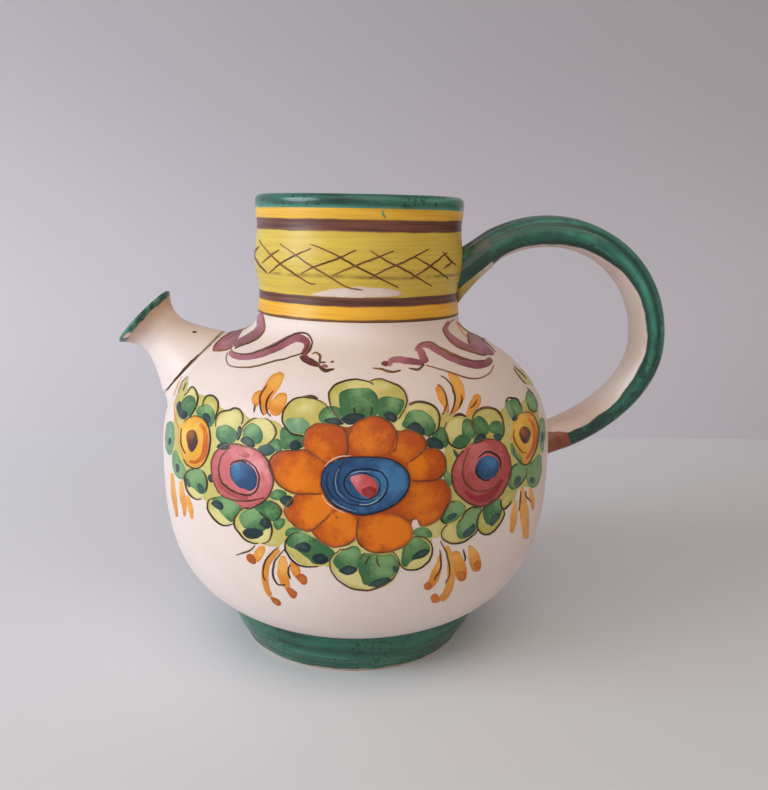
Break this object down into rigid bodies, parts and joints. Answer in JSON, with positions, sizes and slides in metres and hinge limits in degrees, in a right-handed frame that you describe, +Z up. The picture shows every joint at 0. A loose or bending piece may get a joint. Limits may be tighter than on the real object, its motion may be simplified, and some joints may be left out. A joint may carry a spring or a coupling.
{
  "type": "spouted jug",
  "caption": "Round-bellied glazed earthenware jug with an open collar neck, a trumpet side spout, a ribbed strap handle and a turned foot ring.",
  "frame": {"origin": "on the jug's axis, in the plane of the table that the foot ring stands on", "axes": "+Z up the jug's axis, +X from the axis towards the handle, so the spout points to -X"},
  "size_m": [0.2336, 0.1666, 0.1894],
  "materials": {
    "white_glaze": "warm white tin glaze, satin gloss, with painted decoration",
    "green_glaze": "brushed copper-green glaze, glossy",
    "yellow_glaze": "brushed yellow glaze, glossy"
  },
  "bodies": {
    "root": {"body_globe": "white_glaze", "foot_ring": "green_glaze", "neck_collar": "yellow_glaze", "rim_coil": "green_glaze", "spout_seat": "white_glaze", "spout_tube": "white_glaze", "handle_strap": "green_glaze", "handle_top_wad": "white_glaze"}
  },
  "joints": []
}
